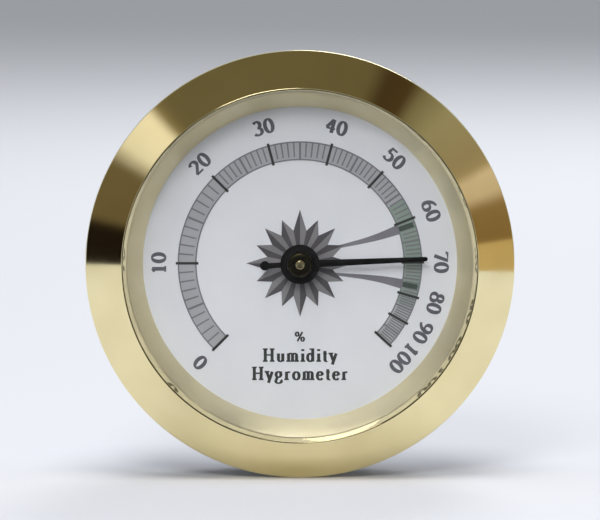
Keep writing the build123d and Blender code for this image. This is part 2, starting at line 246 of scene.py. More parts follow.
def mapped(tree, value, from_range, to_range):
    """A value carried from one range to another, and held at the second one's ends."""
    ranged = node(tree, "ShaderNodeMapRange")
    ranged.inputs["From Min"].default_value = from_range[0]
    ranged.inputs["From Max"].default_value = from_range[1]
    ranged.inputs["To Min"].default_value = to_range[0]
    ranged.inputs["To Max"].default_value = to_range[1]
    tree.links.new(value, ranged.inputs["Value"])
    return ranged.outputs[0]


def spread(tree, noise, to_low, to_high):
    """A noise value carried onto another range by the middle of its own, where most of it lies."""
    return mapped(tree, noise, (0.3, 0.7), (to_low, to_high))


def blended(tree, share, first, second):
    """A colour between two, each of which is a plain colour or another node's output."""
    mix = node(tree, "ShaderNodeMix", data_type="RGBA")
    tree.links.new(share, mix.inputs["Factor"])
    for socket, colour in (("A", first), ("B", second)):
        if isinstance(colour, tuple):
            mix.inputs[socket].default_value = (*colour, 1)
        else:
            tree.links.new(colour, mix.inputs[socket])
    return mix.outputs["Result"]


def add_bump(tree, shader, height, depth, under=None):
    """Bump from a height of 0 to 1, which stands for depth in metres, over another bump if given."""
    bump = node(tree, "ShaderNodeBump", Distance=depth)
    tree.links.new(height, bump.inputs["Height"])
    if under is not None:
        tree.links.new(under, bump.inputs["Normal"])
    tree.links.new(bump.outputs["Normal"], shader.inputs["Normal"])
    return bump.outputs["Normal"]


def add_tint(tree, shader, value, dark, light):
    """Base colour between dark and light, following a value from 0 to 1."""
    tree.links.new(blended(tree, value, dark, light), shader.inputs["Base Color"])


def polished_metal(name, dark, light, roughness, lines=0.12 * UM, waves=0.0):
    """Metal polished on a lathe: faint lines round the axis, slight changes of colour, gentle waves."""
    material, tree, shader = new_material(name, light, roughness, 1.0)
    rings = stretched_noise(tree, lathe_place(tree), (9000, 9000, 60), 4.0)
    clouds = stretched_noise(tree, object_place(tree), (200, 200, 200), 1.5)
    normal = add_bump(tree, shader, rings, lines)
    if waves:
        swells = stretched_noise(tree, object_place(tree), (260, 260, 260), 1.0)
        add_bump(tree, shader, swells, waves, normal)
    add_tint(tree, shader, spread(tree, clouds, 0, 1), dark, light)
    tree.links.new(spread(tree, clouds, roughness * 1.25, roughness * 0.8), shader.inputs["Roughness"])
    return material


def rolled_metal(name, dark, light, roughness, grain):
    """Rolled or brushed sheet: fine straight lines. grain is how fast they change along each axis."""
    material, tree, shader = new_material(name, light, roughness, 1.0)
    place = object_place(tree)
    lines = stretched_noise(tree, place, grain, 5.0)
    clouds = stretched_noise(tree, place, (400, 400, 400), 4.0)
    add_bump(tree, shader, lines, 1.6 * UM)
    add_tint(tree, shader, spread(tree, clouds, 0, 1), dark, light)
    tree.links.new(spread(tree, lines, roughness * 0.7, roughness * 1.4), shader.inputs["Roughness"])
    return material


def plated_metal(name, dark, light, roughness):
    """Barrel-plated hardware: a soft satin with small pits and cloudy colour."""
    material, tree, shader = new_material(name, light, roughness, 1.0)
    place = object_place(tree)
    pits = stretched_noise(tree, place, (7000, 7000, 7000), 4.0)
    clouds = stretched_noise(tree, place, (1200, 1200, 1200), 3.0)
    add_bump(tree, shader, pits, 1.5 * UM)
    add_tint(tree, shader, spread(tree, clouds, 0, 1), dark, light)
    tree.links.new(spread(tree, pits, roughness * 0.85, roughness * 1.3), shader.inputs["Roughness"])
    return material


def glass_material():
    """Clear glass. Light from lamps passes straight through it."""
    material, tree, shader = new_material("lens_glass", (1, 1, 1), 0.0)
    shader.inputs["Transmission Weight"].default_value = 1.0
    shader.inputs["IOR"].default_value = 1.5
    path = node(tree, "ShaderNodeLightPath")
    clear = node(tree, "ShaderNodeBsdfTransparent")
    mix = node(tree, "ShaderNodeMixShader")
    tree.links.new(path.outputs["Is Shadow Ray"], mix.inputs[0])
    tree.links.new(shader.outputs[0], mix.inputs[1])
    tree.links.new(clear.outputs[0], mix.inputs[2])
    tree.links.new(mix.outputs[0], tree.nodes["Material Output"].inputs["Surface"])
    return material


def lacquer_material(name, dark, light, roughness, specular=0.5):
    """Sprayed lacquer or ink: very fine orange peel and a little unevenness of colour."""
    material, tree, shader = new_material(name, light, roughness)
    shader.inputs["Specular IOR Level"].default_value = specular
    place = object_place(tree)
    peel = stretched_noise(tree, place, (5000, 5000, 5000), 2.0)
    clouds = stretched_noise(tree, place, (300, 300, 300), 3.0)
    add_bump(tree, shader, peel, 1 * UM)
    add_tint(tree, shader, spread(tree, clouds, 0, 1), dark, light)
    return material


def moulded_material(name, dark, light, roughness, depth):
    """Moulded plastic or rubber with the mould's eroded grain, and faint polish where it is handled."""
    material, tree, shader = new_material(name, light, roughness)
    place = object_place(tree)
    grain = stretched_noise(tree, place, (6000, 6000, 6000), 2.0)
    clouds = stretched_noise(tree, place, (180, 180, 180), 5.0)
    add_bump(tree, shader, grain, depth)
    add_tint(tree, shader, spread(tree, clouds, 0, 1), dark, light)
    tree.links.new(spread(tree, clouds, roughness * 0.65, roughness * 1.3), shader.inputs["Roughness"])
    return material


def paper_material(name, dark, light):
    """Treated paper: long pale fibres in a matt sheet."""
    material, tree, shader = new_material(name, light, 0.85)
    fibres = stretched_noise(tree, lathe_place(tree), (2500, 5000, 400), 6.0)
    add_bump(tree, shader, fibres, 12 * UM)
    add_tint(tree, shader, spread(tree, fibres, 0, 1), dark, light)
    return material


bezel_brass = polished_metal("bezel_brass", (0.84, 0.73, 0.41), (0.90, 0.79, 0.46), 0.07, waves=5 * UM)
ring_gilt = polished_metal("ring_gilt", (0.84, 0.765, 0.515), (0.90, 0.825, 0.575), 0.42)
# painted shade: the arbor's brass is darkened, standing in for the dim reflection on its domed end
arbor_brass_painted_dim = polished_metal("arbor_brass_painted_dim", (0.30, 0.26, 0.14), (0.40, 0.35, 0.20), 0.25)
# painted dark reflection: the boss's brass is made nearly black, standing in for the dark room it mirrors
boss_brass_painted_dark = polished_metal("boss_brass_painted_dark", (0.020, 0.017, 0.009), (0.035, 0.030, 0.016), 0.30)
turned_brass = polished_metal("turned_brass", (0.66, 0.51, 0.25), (0.78, 0.63, 0.34), 0.20, 3 * UM)
sheet_brass = rolled_metal("sheet_brass", (0.62, 0.47, 0.22), (0.74, 0.59, 0.31), 0.26, (150, 900, 9000))
strip_metal = rolled_metal("strip_metal", (0.50, 0.46, 0.38), (0.66, 0.61, 0.52), 0.25, (300, 9000, 300))
bright_steel = plated_metal("bright_steel", (0.34, 0.34, 0.345), (0.52, 0.52, 0.525), 0.30)
lens_glass = glass_material()
dial_white = lacquer_material("dial_white", (0.76, 0.785, 0.84), (0.79, 0.815, 0.865), 0.45)
print_white = lacquer_material("print_white", (0.52, 0.53, 0.53), (0.66, 0.67, 0.66), 0.6)
ink_grey = lacquer_material("ink_grey", (0.17, 0.175, 0.19), (0.20, 0.205, 0.225), 0.6)
ink_pale = lacquer_material("ink_pale", (0.38, 0.39, 0.42), (0.42, 0.43, 0.465), 0.6)
ink_green = lacquer_material("ink_green", (0.23, 0.30, 0.265), (0.27, 0.34, 0.305), 0.6)
ink_deep_green = lacquer_material("ink_deep_green", (0.045, 0.065, 0.055), (0.07, 0.10, 0.085), 0.6)
ink_dark = lacquer_material("ink_dark", (0.020, 0.025, 0.024), (0.032, 0.038, 0.036), 0.6)
ink_violet = lacquer_material("ink_violet", (0.090, 0.090, 0.115), (0.12, 0.12, 0.15), 0.6)
ink_horn = lacquer_material("ink_horn", (0.17, 0.17, 0.20), (0.22, 0.22, 0.25), 0.6)
ink_star = lacquer_material("ink_star", (0.060, 0.057, 0.067), (0.085, 0.081, 0.092), 0.6)
ink_star_light = lacquer_material("ink_star_light", (0.19, 0.185, 0.20), (0.24, 0.235, 0.25), 0.6)
pointer_black = lacquer_material("pointer_black", (0.003, 0.003, 0.003), (0.006, 0.006, 0.006), 0.6, 0.12)
case_black = moulded_material("case_black", (0.013, 0.013, 0.014), (0.022, 0.022, 0.023), 0.46, 26 * UM)
cover_black = moulded_material("cover_black", (0.010, 0.010, 0.011), (0.018, 0.018, 0.019), 0.42, 26 * UM)
band_rubber = moulded_material("band_rubber", (0.016, 0.015, 0.014), (0.030, 0.029, 0.028), 0.80, 8 * UM)
seal_rubber = moulded_material("seal_rubber", (0.012, 0.012, 0.012), (0.020, 0.020, 0.020), 0.70, 4 * UM)
coil_paper = paper_material("coil_paper", (0.58, 0.47, 0.29), (0.76, 0.66, 0.46))

# ---- bezel, sloping ring and lens ---------------------------------------------------------------

rim_height = 1.0
crest_r = 20.75
crest_width = 0.2
window_r = 20.2
ring_inner_r = 18.3

bezel_outline = rounded(
    [
        (case_r, 0, 0),
        (bezel_r, 0, 0.12),
        (bezel_r, -rim_height, 0.22),
        (crest_r, bezel_front, 0.1),
        (crest_r - crest_width, bezel_front, 0.06),
        (window_r, lens_front, 0),
        (drop_in_r, lens_front, 0),
        (drop_in_r, ring_front, 0),
        (case_r, ring_front, 0),
    ]
)
bezel = turned("brass_bezel", bezel_outline, bezel_brass, "case", smooth_angle=60)
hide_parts("bezel")

ring_outline = rounded(
    [
        (drop_in_r, ring_front, 0),
        (window_r - 0.05, ring_front, 0.05),
        (ring_inner_r, dial_front, 0.03),
        (drop_in_r, dial_front, 0),
    ]
)
ring = turned("gilt_sloping_ring", ring_outline, ring_gilt, "case")
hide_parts("sloping_ring")

lens_edge = 0.1
lens_outline = [
    (0, lens_front),
    (drop_in_r - lens_edge, lens_front),
    (drop_in_r, lens_front + lens_edge),
    (drop_in_r, lens_rear - lens_edge),
    (drop_in_r - lens_edge, lens_rear),
    (0, lens_rear),
]
lens = turned("glass_lens", lens_outline, lens_glass, "case")
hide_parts("lens")

# ---- dial printing ------------------------------------------------------------------------------

INK = 0.012  # thickness of the ink
CROSSING = 0.0008  # difference in height of printed or raised lines that cross

# the humidity scale, in percent, and its compass angles, which are not evenly spaced
scale_angles = {
    0: -135,
    10: -90,
    20: -45,
    30: -15,
    40: 15,
    50: 42,
    60: 68,
    70: 89.5,
    80: 106.5,
    90: 119.5,
    100: 132.5,
}
band_inner_r = 12.15
band_outer_r = 14.2
numeral_r = 16.5
tinted_zone = (56, 84)  # percent, printed with a green tint
ideal_angles = (71, 101.5)  # where the two horns meet the band


def scale_angle(percent):
    """The compass angle of a reading, between the two tens it lies between."""
    ten = min(int(percent // 10) * 10, 90)
    share = (percent - ten) / 10
    return scale_angles[ten] * (1 - share) + scale_angles[ten + 10] * share


def flat(radius, angle):
    """The (x, z) point at a radius and a compass angle."""
    a = math.radians(angle)
    return Vector((radius * math.sin(a), radius * math.cos(a)))


def printed(name, ribbons, material, level=0):
    """Ink on the dial. A ribbon is a list of (left, right) pairs of (x, z) points; level stacks inks.

    Ribbons that cross differ a little in height, so that no two faces lie in one another.
    """
    bm = bmesh.new()
    rear = dial_front - INK * level - 0.002
    for k, ribbon in enumerate(ribbons):
        front = rear - INK + CROSSING * (k % 8)
        ring = (ribbon[0][0] - ribbon[-1][0]).length < TOUCHING
        sections = []
        for left, right in ribbon[:-1] if ring else ribbon:
            corners = [(left, rear), (left, front), (right, front), (right, rear)]
            sections.append([bm.verts.new((p[0], y, p[1])) for p, y in corners])
        joined_sections(bm, sections, ring)
    piece = finished(name, bm, material, "case")
    return piece


def arc_ribbon(inner, outer, start, end):
    """A band along an arc of the dial, in steps of about a degree and a half."""
    count = max(2, round((end - start) / 1.5))
    angles = [start + (end - start) * k / count for k in range(count + 1)]
    return [(flat(inner, a), flat(outer, a)) for a in angles]


def tick_ribbon(inner, outer, angle, width):
    """A straight tick across the band."""
    along = flat(1, angle)
    across = Vector((along.y, -along.x)) * width / 2
    return [(along * r - across, along * r + across) for r in (inner, outer)]


def stroke_ribbon(points, width_at):
    """A stroke along a line of points. width_at gives its width from its direction and its share."""
    ribbon = []
    for k, point in enumerate(points):
        before = points[max(k - 1, 0)]
        after = points[min(k + 1, len(points) - 1)]
        if (points[0] - points[-1]).length < TOUCHING and k in (0, len(points) - 1):
            before = points[-2]
            after = points[1]
        along = (after - before).normalized()
        across = Vector((along.y, -along.x)) * width_at(along, k / (len(points) - 1)) / 2
        ribbon.append((point - across, point + across))
    return ribbon


def smooth_line(points, steps):
    """A line through the points, rounded by a Catmull-Rom curve."""
    padded = [points[0] * 2 - points[1], *points, points[-1] * 2 - points[-2]]
    line = []
    for a, b, c, d in zip(padded, padded[1:], padded[2:], padded[3:]):
        for step in range(steps):
            t = step / steps
            line.append(
                0.5 * (2 * b + (c - a) * t + (2 * a - 5 * b + 4 * c - d) * t**2)
                + 0.5 * (3 * b - 3 * c + d - a) * t**3
            )
    return [*line, points[-1]]


def print_scale():
    """Two circles with a tick at each percent, longer and darker at each ten, over a pale wash."""
    start = scale_angles[0]
    end = scale_angles[100]
    green_start, green_end = (scale_angle(percent) for percent in tinted_zone)
    wash = [
        arc_ribbon(band_inner_r, band_outer_r, start, green_start),
        arc_ribbon(band_inner_r, band_outer_r, green_end, end),
    ]
    printed("scale_wash", wash, ink_pale)
    green = [arc_ribbon(band_inner_r, band_outer_r, green_start, green_end)]
    printed("scale_ideal_zone", green, ink_green)
    line_width = 0.16
    unit_width = 0.17
    five_width = 0.24
    ten_width = 0.30
    tick_step = 0.3  # how far a ten's tick passes the circles and a unit's stays short of one
    circles = [
        arc_ribbon(radius - line_width / 2, radius + line_width / 2, start, end)
        for radius in (band_inner_r, band_outer_r)
    ]
    printed("scale_circles", circles, ink_grey, 2)
    unit_ticks = []
    ten_ticks = []
    for percent in range(101):
        angle = scale_angle(percent)
        if percent % 10 == 0:
            inner_r = band_inner_r - tick_step
            ten_ticks.append(tick_ribbon(inner_r, band_outer_r + tick_step, angle, ten_width))
        elif percent % 5 == 0:
            unit_ticks.append(tick_ribbon(band_inner_r, band_outer_r, angle, five_width))
        else:
            inner_r = band_inner_r + tick_step
            unit_ticks.append(tick_ribbon(inner_r, band_outer_r, angle, unit_width))
    printed("scale_ticks", unit_ticks, ink_grey, 1)
    printed("scale_ten_ticks", ten_ticks, ink_dark, 3)


def print_ideal_zone_horns():
    """Two curves that widen from beside the hub to the zone's ends, and a dark mark at each end."""
    middle = sum(ideal_angles) / 2
    reach = ideal_angles[1] - middle
    first_width = 0.34
    growth = 0.80
    mark_width = 0.60
    # how far each horn is from the middle, in degrees, at each radius
    degrees_at = ((4.4, 20.5), (6.0, 17.6), (8.0, 15.6), (10.0, 15.0), (band_inner_r, reach))
    horns = []
    marks = []

    def horn_width(along, share):
        return first_width + growth * share**1.6

    for side in (-1, 1):
        rough = [flat(radius, middle + side * degrees) for radius, degrees in degrees_at]
        horns.append(stroke_ribbon(smooth_line(rough, 8), horn_width))
        mark_angle = middle + side * reach
        marks.append(tick_ribbon(band_inner_r, band_outer_r - 0.2, mark_angle, mark_width))
    printed("ideal_zone_horns", horns, ink_horn)
    printed("ideal_zone_marks", marks, ink_deep_green, 2)


def print_star():
    """A compass star of sixteen short points round the hub, each point half dark and half light."""
    star_points = 16
    half_step = 180 / star_points
    root_r = 1.9
    valley_r = 3.9
    main_tip_r = 6.3
    second_tip_r = 5.8
    third_tip_r = 5.5
    dark = []
    light = []
    for k in range(star_points):
        angle = 360 * k / star_points
        if k % 4 == 0:
            tip_r = main_tip_r
        elif k % 2 == 0:
            tip_r = second_tip_r
        else:
            tip_r = third_tip_r
        tip = flat(tip_r, angle)
        root = flat(root_r, angle)
        for side, halves in ((-1, dark), (1, light)):
            valley = flat(valley_r, angle + side * half_step)
            valley_root = flat(root_r, angle + side * half_step)
            blunt_tip = tip.lerp(valley, 0.02)
            halves.append([(root, valley_root), (root.lerp(tip, 0.45), valley), (tip, blunt_tip)])
    printed("star_dark_halves", dark, ink_star, 2)
    printed("star_light_halves", light, ink_star_light, 2)


# ---- numerals and lettering ---------------------------------------------------------------------

# A glyph is a list of strokes in units of its capital height, and its width. A stroke is a list of
# (x, z) points; bend() gives those of a curved stretch.


def bend(x, z, half_width, half_height, start, end):
    """Points along part of an ellipse, the angles counterclockwise from its right-hand side."""
    count = max(3, round(abs(end - start) / 15))
    angles = [math.radians(start + (end - start) * k / count) for k in range(count + 1)]
    return [(x + half_width * math.cos(a), z + half_height * math.sin(a)) for a in angles]


def foot(x, z=0.0):
    """A short level serif across a stem."""
    return [(x - 0.17, z + 0.04), (x + 0.17, z + 0.04)]


glyphs = {
    "0": ([bend(0.30, 0.5, 0.22, 0.47, 0, 360)], 0.60),
    "1": ([[(0.30, 0.0), (0.30, 0.97)], [(0.31, 0.95), (0.13, 0.80)], foot(0.30)], 0.60),
    "2": (
        [[*bend(0.28, 0.72, 0.21, 0.25, 165, -35), (0.07, 0.06)], [(0.05, 0.06), (0.54, 0.06)]],
        0.60,
    ),
    "3": ([bend(0.27, 0.74, 0.19, 0.23, 150, -90), bend(0.26, 0.27, 0.24, 0.25, 90, -150)], 0.60),
    "4": (
        [[(0.40, 0.0), (0.40, 0.97)], [(0.39, 0.95), (0.05, 0.33)], [(0.04, 0.31), (0.57, 0.31)]],
        0.60,
    ),
    "5": ([[(0.52, 0.94), (0.17, 0.94), (0.13, 0.54)], bend(0.26, 0.31, 0.24, 0.28, 125, -150)], 0.60),
    "6": ([bend(0.50, 0.30, 0.42, 0.66, 95, 180), bend(0.30, 0.29, 0.22, 0.26, 0, 360)], 0.60),
    "7": ([[(0.08, 0.80), (0.09, 0.94), (0.54, 0.94), (0.25, 0.0)]], 0.60),
    "8": ([bend(0.30, 0.75, 0.17, 0.21, 0, 360), bend(0.30, 0.28, 0.22, 0.25, 0, 360)], 0.60),
    "9": ([bend(0.10, 0.70, 0.42, 0.66, -85, 0), bend(0.30, 0.71, 0.22, 0.26, 0, 360)], 0.60),
    "%": (
        [
            bend(0.20, 0.74, 0.13, 0.21, 0, 360),
            bend(0.70, 0.23, 0.13, 0.21, 0, 360),
            [(0.68, 0.97), (0.22, 0.0)],
        ],
        0.92,
    ),
    "H": (
        [
            [(0.17, 0.0), (0.17, 1.0)],
            [(0.65, 0.0), (0.65, 1.0)],
            [(0.17, 0.52), (0.65, 0.52)],
            foot(0.17),
            foot(0.17, 0.94),
            foot(0.65),
            foot(0.65, 0.94),
        ],
        0.84,
    ),
    "d": ([bend(0.25, 0.32, 0.18, 0.30, 0, 360), [(0.43, 0.0), (0.43, 1.0)], foot(0.37, 0.94)], 0.58),
    "e": ([[(0.08, 0.37), (0.44, 0.37)], bend(0.26, 0.32, 0.19, 0.31, 10, 325)], 0.52),
    "i": ([[(0.16, 0.0), (0.16, 0.64)], foot(0.16), [(0.16, 0.82), (0.16, 0.98)]], 0.32),
    "m": (
        [
            [(0.15, 0.0), (0.15, 0.64)],
            [*bend(0.29, 0.46, 0.14, 0.17, 180, 0), (0.43, 0.0)],
            [*bend(0.57, 0.46, 0.14, 0.17, 180, 0), (0.71, 0.0)],
            foot(0.15),
            foot(0.43),
            foot(0.71),
        ],
        0.88,
    ),
    "t": (
        [[(0.17, 0.84), *bend(0.27, 0.16, 0.10, 0.14, 180, 310)], [(0.04, 0.62), (0.32, 0.62)]],
        0.38,
    ),
    "u": ([[(0.15, 0.64), *bend(0.29, 0.18, 0.14, 0.16, 180, 330)], [(0.45, 0.64), (0.45, 0.0)]], 0.60),
    "g": (
        [
            bend(0.25, 0.42, 0.17, 0.21, 0, 360),
            [(0.20, 0.22), (0.12, 0.10), *bend(0.26, -0.10, 0.20, 0.16, 140, 400)],
            [(0.36, 0.58), (0.50, 0.62)],
        ],
        0.54,
    ),
    "o": ([bend(0.27, 0.32, 0.20, 0.30, 0, 360)], 0.56),
    "r": ([[(0.16, 0.0), (0.16, 0.64)], bend(0.30, 0.46, 0.14, 0.15, 180, 45), foot(0.16)], 0.46),
    "y": ([[(0.08, 0.64), (0.28, 0.04)], [(0.47, 0.64), (0.20, -0.24)], foot(0.10, 0.60)], 0.54),
}


def lettering(text, centre, angle, height, thick, thin, spacing, widen):
    """Ribbons of a line of text round its centre, turned clockwise by an angle.

    thick and thin are the widths of upright and level strokes, and spacing the gap between letters, in
    units of the height. widen stretches the letters sideways.
    """

    def pen(along, share):
        return (thin + (thick - thin) * abs(along.y) ** 1.5) * height

    width = sum(glyphs[letter][1] * widen + spacing for letter in text) - spacing
    turn = Matrix.Rotation(math.radians(-angle), 2)
    ribbons = []
    start = -width / 2
    for letter in text:
        strokes, advance = glyphs[letter]
        for stroke in strokes:
            points = [Vector((x * widen + start, z - 0.5)) * height for x, z in stroke]
            ribbon = stroke_ribbon(points, pen)
            ribbons.append([(centre + turn @ left, centre + turn @ right) for left, right in ribbon])
        start += advance * widen + spacing
    return ribbons


def print_lettering():
    """The scale's numerals, and generic words under the axis."""
    height = 1.65
    thick = 0.27
    thin = 0.14
    spacing = 0.07
    widen = 1.2
    numerals = []
    for percent, angle in scale_angles.items():
        centre = flat(numeral_r, angle)
        numerals += lettering(str(percent), centre, angle, height, thick, thin, spacing, widen)
    printed("numerals", numerals, ink_violet)
    widen = 1.11
    # text, height of its middle, capital height, widths of upright and level strokes, spacing
    lines = (
        ("%", -8.6, 1.15, 0.20, 0.11, 0),
        ("Humidity", -10.8, 1.5, 0.24, 0.12, 0.12),
        ("Hygrometer", -12.95, 1.5, 0.24, 0.12, 0.13),
    )
    words = []
    for text, middle, height, thick, thin, spacing in lines:
        words += lettering(text, Vector((0, middle)), 0, height, thick, thin, spacing, widen)
    printed("words", words, ink_dark)


print_scale()
print_ideal_zone_horns()
print_star()
print_lettering()

# ---- pointer ------------------------------------------------------------------------------------

pointer_angle = 87.6  # about 69 % on the scale
pointer_hub_r = 2.3
pointer_tip_r = 14.9
pointer_half_width = (0.45, 0.25)  # at the hub and at the tip
tail_disc_r = 0.55
tail_disc_at = -4.1
tail_half_width = 0.3


def needle_half_width(s):
    """Half the pointer's width at a distance s along it from the axis."""
    hub = math.sqrt(max(pointer_hub_r**2 - s**2, 0))
    disc = math.sqrt(max(tail_disc_r**2 - (s - tail_disc_at) ** 2, 0))
    wide, narrow = pointer_half_width
    blade = wide + (narrow - wide) * s / pointer_tip_r
    tip = math.sqrt(max(1 - max(s - pointer_tip_r + narrow, 0) ** 2 / narrow**2, 0))
    neck = tail_half_width if s > tail_disc_at else 0
    thinnest = 0.01
    return max(hub, disc, blade * tip if s > 0 else neck, thinnest)


def needle():
    """The black pointer: a tapered blade, a hub disc and a small tail disc, with a rolled edge."""
    edge = 0.06
    steps = 24
    tip_r = pointer_half_width[1]
    turns = [math.cos(math.pi * k / steps) for k in range(steps + 1)]
    # distances along the pointer at which its outline is taken, close together on the round ends
    stations = {round(pointer_hub_r * turn, 4) for turn in turns}
    stations |= {round(tail_disc_at + tail_disc_r * turn, 4) for turn in turns}
    stations |= {round(pointer_tip_r - tip_r * (1 - turn), 4) for turn in turns[: steps // 2 + 1]}
    stations |= set(range(3, 15))
    along = flat(1, pointer_angle)
    across = Vector((along.y, -along.x))
    bm = bmesh.new()
    sections = []
    for s in sorted(stations):
        half = needle_half_width(s)
        rounding = min(edge, half / 2)
        shoulder = rounding * 0.3
        outline = [
            (-half, pointer_rear),
            (-half, pointer_front + rounding),
            (-half + shoulder, pointer_front + shoulder),
            (-half + rounding, pointer_front),
            (half - rounding, pointer_front),
            (half - shoulder, pointer_front + shoulder),
            (half, pointer_front + rounding),
            (half, pointer_rear),
        ]
        points = [(along * s + across * w, y) for w, y in outline]
        sections.append([bm.verts.new((point.x, y, point.y)) for point, y in points])
    joined_sections(bm, sections)
    piece = finished("pointer_needle", bm, pointer_black, "pointer", smooth_angle=35)
    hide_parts("pointer")


def pointer_centre():
    """The boss that grips the arbor, its brass painted nearly black as a painted dark reflection of the
    room in front, and the arbor with its small domed end.
    """
    bore = 0.6
    sleeve_r = 0.9
    boss_rear = high("pointer_boss").y
    boss_outline = rounded(
        [
            (bore, boss_front, 0.06),
            (boss_r, boss_front, 0.40),
            (boss_r, pointer_front, 0),
            (sleeve_r, pointer_front, 0),
            (sleeve_r, boss_rear, 0),
            (bore, boss_rear, 0),
        ]
    )
    boss = turned("pointer_boss_turned", boss_outline, boss_brass_painted_dark, "pointer")
    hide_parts("pointer_boss")
    arbor_front = low("arbor").y
    arbor_rear = high("arbor").y
    pivot_r = 0.3
    pivot_front = 7.3
    arbor_outline = rounded(
        [
            (0, arbor_front, 0),
            (bore, arbor_front, 0.28),
            (bore, pivot_front, 0.05),
            (pivot_r, pivot_front, 0),
            (pivot_r, arbor_rear, 0.1),
            (0, arbor_rear, 0),
        ]
    )
    arbor = turned("arbor_turned", arbor_outline, arbor_brass_painted_dim, "pointer")
    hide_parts("arbor")


needle()
pointer_centre()

# ---- band and back ------------------------------------------------------------------------------


def ribbed_band():
    """The rubber band that grips the panel's hole: round-topped ribs between two plain edges."""
    outer_r = high("friction_band").x
    inner_r = 21.6
    front = low("friction_band").y
    rear = high("friction_band").y
    edge = 0.2
    margin = 0.35
    rib_count = 9
    groove = 0.16
    pitch = (rear - front - 2 * margin) / rib_count
    corners = [
        (inner_r, rear, 0),
        (inner_r, front, 0),
        (outer_r - edge, front, 0),
        (outer_r, front + edge, 0.08),
    ]
    for k in range(rib_count):
        start = front + margin + pitch * k
        corners.append((outer_r, start, 0.05))
        corners.append((outer_r - groove, start + pitch * 0.18, 0.03))
        corners.append((outer_r - groove, start + pitch * 0.38, 0.03))
        corners.append((outer_r, start + pitch * 0.56, 0.05))
    corners += [(outer_r, rear - edge, 0.08), (outer_r - edge, rear, 0)]
    band = turned("ribbed_rubber_band", rounded(corners, 3), band_rubber, "case", smooth_angle=50)
    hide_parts("friction_band")


def cover_screws():
    """Three plated pan-head screws with a tapered cross recess in each head."""
    circle_r = 17.6
    turned_to = (25, 70, -10)  # degrees each recess happens to stand at
    screw = carved(screw_blank(), cross_recess())
    joined = bmesh.new()
    for k, turn in enumerate(turned_to):
        copy = bmesh.new()
        copy.from_mesh(screw)
        turning = Matrix.Rotation(math.radians(turn), 3, "Y")
        bmesh.ops.rotate(copy, cent=(0, 0, 0), matrix=turning, verts=copy.verts)
        bmesh.ops.translate(copy, vec=on_dial(circle_r, 120 * k, 0), verts=copy.verts)
        placed = bpy.data.meshes.new("placed_screw")
        copy.to_mesh(placed)
        copy.free()
        joined.from_mesh(placed)
        bpy.data.meshes.remove(placed)
    bpy.data.meshes.remove(screw)
    screws = finished("cover_pan_screws", joined, bright_steel, "case", smooth_angle=30)
    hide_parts("back_cover_screws")


def screw_blank():
    """A screw on the dial's axis, before its recess is cut: a shank and a low domed head."""
    shank_r = 0.8
    head_r = 1.5
    dome = 0.22
    shoulder = 0.25
    dome_r = head_r - shoulder
    dome_start = high("back_cover_screws").y - dome
    outline = [
        (0, low("back_cover_screws").y),
        (shank_r, low("back_cover_screws").y),
        (shank_r, cover_rear),
        (head_r, cover_rear),
        (head_r, dome_start - shoulder),
        (head_r - 0.07, dome_start - 0.08),
    ]
    steps = 5
    for k in range(steps + 1):
        share = 1 - k / steps
        outline.append((dome_r * share, dome_start + dome * (1 - share**2)))
    bm = revolved(outline, 48)
    bmesh.ops.recalc_face_normals(bm, faces=bm.faces)
    return bm


def cross_recess():
    """The tapered cross that is cut from a screw head."""
    half_length = 0.75
    half_arm = 0.17
    depth = 0.55
    taper_x = 0.55  # the bottom's size over the mouth's
    taper_z = 0.7
    mouth = high("back_cover_screws").y + 0.2
    bottom = high("back_cover_screws").y - depth
    bm = bmesh.new()
    for half_x, half_z in ((half_length, half_arm), (half_arm, half_length)):
        corners = [(-half_x, -half_z), (half_x, -half_z), (half_x, half_z), (-half_x, half_z)]
        rear = [bm.verts.new((x, mouth, z)) for x, z in corners]
        front = [bm.verts.new((x * taper_x, bottom, z * taper_z)) for x, z in corners]
        bm.faces.new(rear)
        bm.faces.new(front)
        for k in range(4):
            bm.faces.new((rear[k], rear[(k + 1) % 4], front[(k + 1) % 4], front[k]))
    bmesh.ops.recalc_face_normals(bm, faces=bm.faces)
    return bm


def carved(body, cutter):
    """The mesh of one closed bmesh with another cut out of it."""
    holders = []
    for name, bm in (("carved_body", body), ("carved_cutter", cutter)):
        holders.append(object_from(name, bm))
    cut = holders[0].modifiers.new("cut", "BOOLEAN")
    cut.operation = "DIFFERENCE"
    cut.solver = "EXACT"
    cut.use_self = True
    cut.object = holders[1]
    depsgraph = bpy.context.evaluated_depsgraph_get()
    result = bpy.data.meshes.new_from_object(holders[0].evaluated_get(depsgraph))
    for holder in holders:
        mesh = holder.data
        bpy.data.objects.remove(holder)
        bpy.data.meshes.remove(mesh)
    return result


relief_foot = cover_rear - 0.01  # relief starts just inside the back cover


def raised(name, ribbons, height, edge, material):
    """Relief on the back cover's rear face, with sloping sides. Ribbons are as for ink."""
    bm = bmesh.new()
    for k, ribbon in enumerate(ribbons):
        top_y = cover_rear + height - CROSSING * (k % 8)
        sections = []
        for left, right in ribbon:
            inset = (right - left).normalized() * edge
            corners = [
                (left, relief_foot),
                (left + inset, top_y),
                (right - inset, top_y),
                (right, relief_foot),
            ]
            sections.append([bm.verts.new((p[0], y, p[1])) for p, y in corners])
        joined_sections(bm, sections)
    piece = finished(name, bm, material, "case", smooth_angle=30)


def raised_ring(name, radius):
    """A low round-topped ridge on the back cover."""
    half = 0.28
    half_top = half * 0.6
    height = 0.25
    outline = rounded(
        [
            (radius - half, relief_foot, 0),
            (radius + half, relief_foot, 0),
            (radius + half_top, cover_rear + height, 0.1),
            (radius - half_top, cover_rear + height, 0.1),
        ],
        4,
    )
    turned(name, outline, cover_black, "case")


